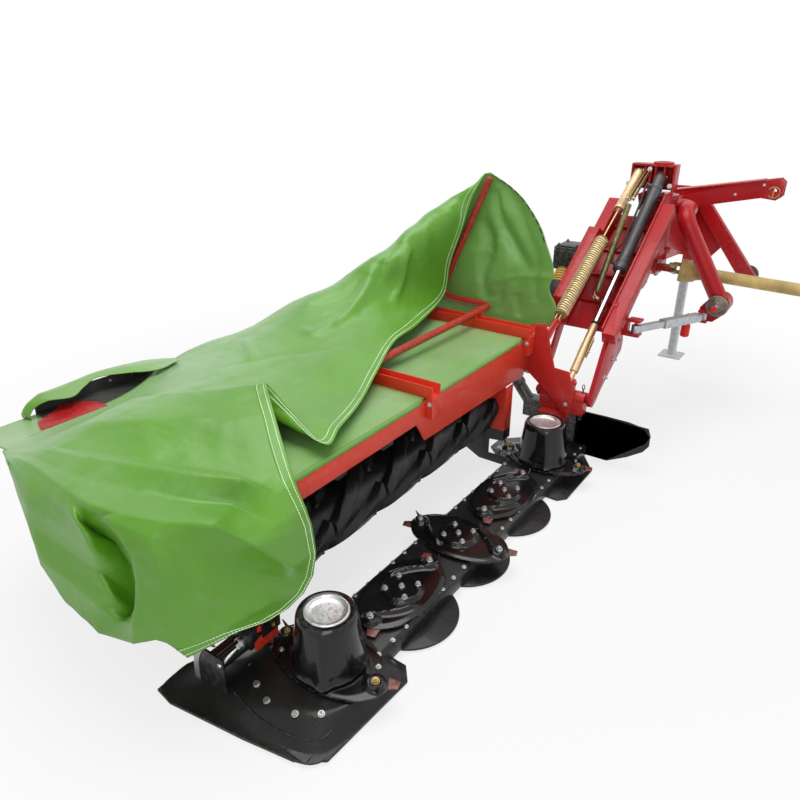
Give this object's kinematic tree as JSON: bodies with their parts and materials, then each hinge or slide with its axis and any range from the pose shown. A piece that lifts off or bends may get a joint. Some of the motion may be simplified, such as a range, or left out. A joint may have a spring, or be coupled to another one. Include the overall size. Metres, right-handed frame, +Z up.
{
  "type": "rear-mounted disc mower with roller conditioner",
  "caption": "Side-mounted disc mower: low cutter bar with oval knife discs and end drums, rubber crop rolls, green sheet cover, lift arm and two-category hitch frame with a drive shaft.",
  "frame": {"origin": "underside of the middle skid, below the centre of the middle cutting disc, at ground level", "axes": "+X from the outer end towards the tractor hitch, -Y the direction of travel, +Z up"},
  "size_m": [4.2275, 2.4646, 1.3818],
  "materials": {
    "black_paint": "gloss",
    "cover_red": "satin",
    "arm_red": "gloss",
    "roll_rubber": "matt",
    "tarp_green": "coated",
    "gearbox_grey": "satin",
    "yellow_zinc": "plated",
    "rod_chrome": "polished",
    "bright_steel": "machined",
    "galvanised": "galvanised",
    "cap_aluminium": "spun",
    "guard_khaki": "matt",
    "knob_red": "gloss"
  },
  "bodies": {
    "headstock": {"headstock_frame": "arm_red", "inner_leg": "arm_red", "input_boss": "arm_red", "outer_leg": "arm_red", "hitch_pins": "bright_steel", "kingpin": "bright_steel"},
    "stand": {"stand_leg": "galvanised"},
    "arm": {"lift_arm": "arm_red", "arm_head": "arm_red", "transfer_gearbox": "gearbox_grey", "cutter_driveshaft": "gearbox_grey", "guide_spring": "yellow_zinc"},
    "cutter_unit": {"cutterbar_case": "black_paint", "skid_plates": "black_paint", "outer_shoe": "black_paint", "inner_shoe": "black_paint", "inner_divider": "black_paint", "inner_gearbox": "gearbox_grey", "swath_mount": "black_paint", "conditioner_side_outer": "cover_red", "conditioner_side_inner": "cover_red", "front_beam": "cover_red", "cover_frame": "cover_red", "cover_channels": "cover_red", "rear_hood": "roll_rubber", "yoke_bracket": "cover_red", "tarp_deck": "tarp_green", "tarp_outer_drape": "tarp_green", "tarp_roof": "tarp_green", "tarp_inner_drape": "tarp_green"},
    "guard_hoop": {"guard_hoop": "cover_red"},
    "lower_roll": {"roll_lower": "roll_rubber"},
    "upper_roll": {"roll_upper": "roll_rubber"},
    "cylinder_barrel": {"lift_barrel": "gearbox_grey"},
    "cylinder_rod": {"lift_rod": "rod_chrome"},
    "spring_upper": {"spring_tube": "yellow_zinc"},
    "spring_lower": {"balance_spring": "yellow_zinc"},
    "link_tube": {"safety_link_tube": "galvanised", "link_knob": "knob_red"},
    "link_rod": {"safety_link_rod": "galvanised"},
    "pto": {"pto_shaft": "guard_khaki"},
    "disc_1": {"disc_1": "black_paint", "drum_cap_1": "cap_aluminium"},
    "disc_2": {"disc_2": "black_paint"},
    "disc_3": {"disc_3": "black_paint"},
    "disc_4": {"disc_4": "black_paint"},
    "disc_5": {"disc_5": "black_paint", "drum_cap_5": "cap_aluminium"}
  },
  "joints": [
    {"name": "stand_slide", "type": "slide", "parent": "headstock", "child": "stand", "axis": [0, 0, 1], "range_m": [0, 0.35]},
    {"name": "breakaway_swing", "type": "hinge", "parent": "headstock", "child": "arm", "pos_m": [2.12, -0.05, 1.05], "axis": [0, 0, -1], "range_deg": [0, 20]},
    {"name": "lift", "type": "hinge", "parent": "arm", "child": "cutter_unit", "pos_m": [1.05, 0, 0.34], "axis": [0, 1, 0], "range_deg": [-10, 28]},
    {"name": "disc_1_spin", "type": "hinge", "parent": "cutter_unit", "child": "disc_1", "pos_m": [-0.8, 0, 0.1], "axis": [0, 0, 1], "continuous": true},
    {"name": "disc_2_spin", "type": "hinge", "parent": "cutter_unit", "child": "disc_2", "pos_m": [-0.4, 0, 0.1], "axis": [0, 0, 1], "continuous": true},
    {"name": "disc_3_spin", "type": "hinge", "parent": "cutter_unit", "child": "disc_3", "pos_m": [0, 0, 0.1], "axis": [0, 0, 1], "continuous": true},
    {"name": "disc_4_spin", "type": "hinge", "parent": "cutter_unit", "child": "disc_4", "pos_m": [0.4, 0, 0.1], "axis": [0, 0, 1], "continuous": true},
    {"name": "disc_5_spin", "type": "hinge", "parent": "cutter_unit", "child": "disc_5", "pos_m": [0.8, 0, 0.1], "axis": [0, 0, 1], "continuous": true},
    {"name": "lower_roll_spin", "type": "hinge", "parent": "cutter_unit", "child": "lower_roll", "pos_m": [0, 0.33, 0.3], "axis": [1, 0, 0], "continuous": true},
    {"name": "upper_roll_spin", "type": "hinge", "parent": "cutter_unit", "child": "upper_roll", "pos_m": [0, 0.51, 0.47], "axis": [1, 0, 0], "continuous": true},
    {"name": "hoop_fold", "type": "hinge", "parent": "cutter_unit", "child": "guard_hoop", "pos_m": [0.5, 0.48, 0.7163], "axis": [-1, 0, 0], "range_deg": [-88, 0], "deforming": ["tarp_roof", "tarp_inner_drape"]},
    {"name": "cylinder_swing", "type": "hinge", "parent": "arm", "child": "cylinder_barrel", "pos_m": [2.072, -0.02, 1.302], "axis": [0, 1, 0], "range_deg": [-2, 2]},
    {"name": "cylinder_stroke", "type": "slide", "parent": "cylinder_barrel", "child": "cylinder_rod", "axis": [-0.7753, 0, -0.6316], "range_m": [-0.05, 0.02]},
    {"name": "spring_upper_swing", "type": "hinge", "parent": "arm", "child": "spring_upper", "pos_m": [2.066, 0.097, 1.33], "axis": [0, 1, 0], "range_deg": [-8, 4]},
    {"name": "spring_lower_swing", "type": "hinge", "parent": "cutter_unit", "child": "spring_lower", "pos_m": [1.062, 0.097, 0.712], "axis": [0, 1, 0], "range_deg": [-36, 14]},
    {"name": "link_swing", "type": "hinge", "parent": "headstock", "child": "link_tube", "pos_m": [2.03, -0.383, 0.574], "axis": [0, 0, -1], "range_deg": [-1, 20]},
    {"name": "link_slide", "type": "slide", "parent": "link_tube", "child": "link_rod", "axis": [-0.9654, 0.2358, 0.1117], "range_m": [-0.005, 0.125]},
    {"name": "pto_tilt", "type": "hinge", "parent": "headstock", "child": "pto", "pos_m": [2.15, -0.125, 0.79], "axis": [1, 0, 0], "range_deg": [-12, 15]}
  ],
  "couplings": [
    {"joint": "disc_2_spin", "follows": "disc_1_spin", "ratio": -1},
    {"joint": "disc_3_spin", "follows": "disc_1_spin", "ratio": 1},
    {"joint": "disc_4_spin", "follows": "disc_1_spin", "ratio": -1},
    {"joint": "disc_5_spin", "follows": "disc_1_spin", "ratio": 1},
    {"joint": "upper_roll_spin", "follows": "lower_roll_spin", "ratio": -1},
    {"joint": "cylinder_swing", "follows": "lift", "ratio": -0.028},
    {"joint": "cylinder_stroke", "follows": "lift", "m_per_rad": -0.0935},
    {"joint": "spring_upper_swing", "follows": "lift", "ratio": -0.226},
    {"joint": "spring_lower_swing", "follows": "lift", "ratio": -1.226},
    {"joint": "link_swing", "follows": "breakaway_swing", "ratio": 0.95},
    {"joint": "link_slide", "follows": "breakaway_swing", "m_per_rad": 0.3432}
  ]
}
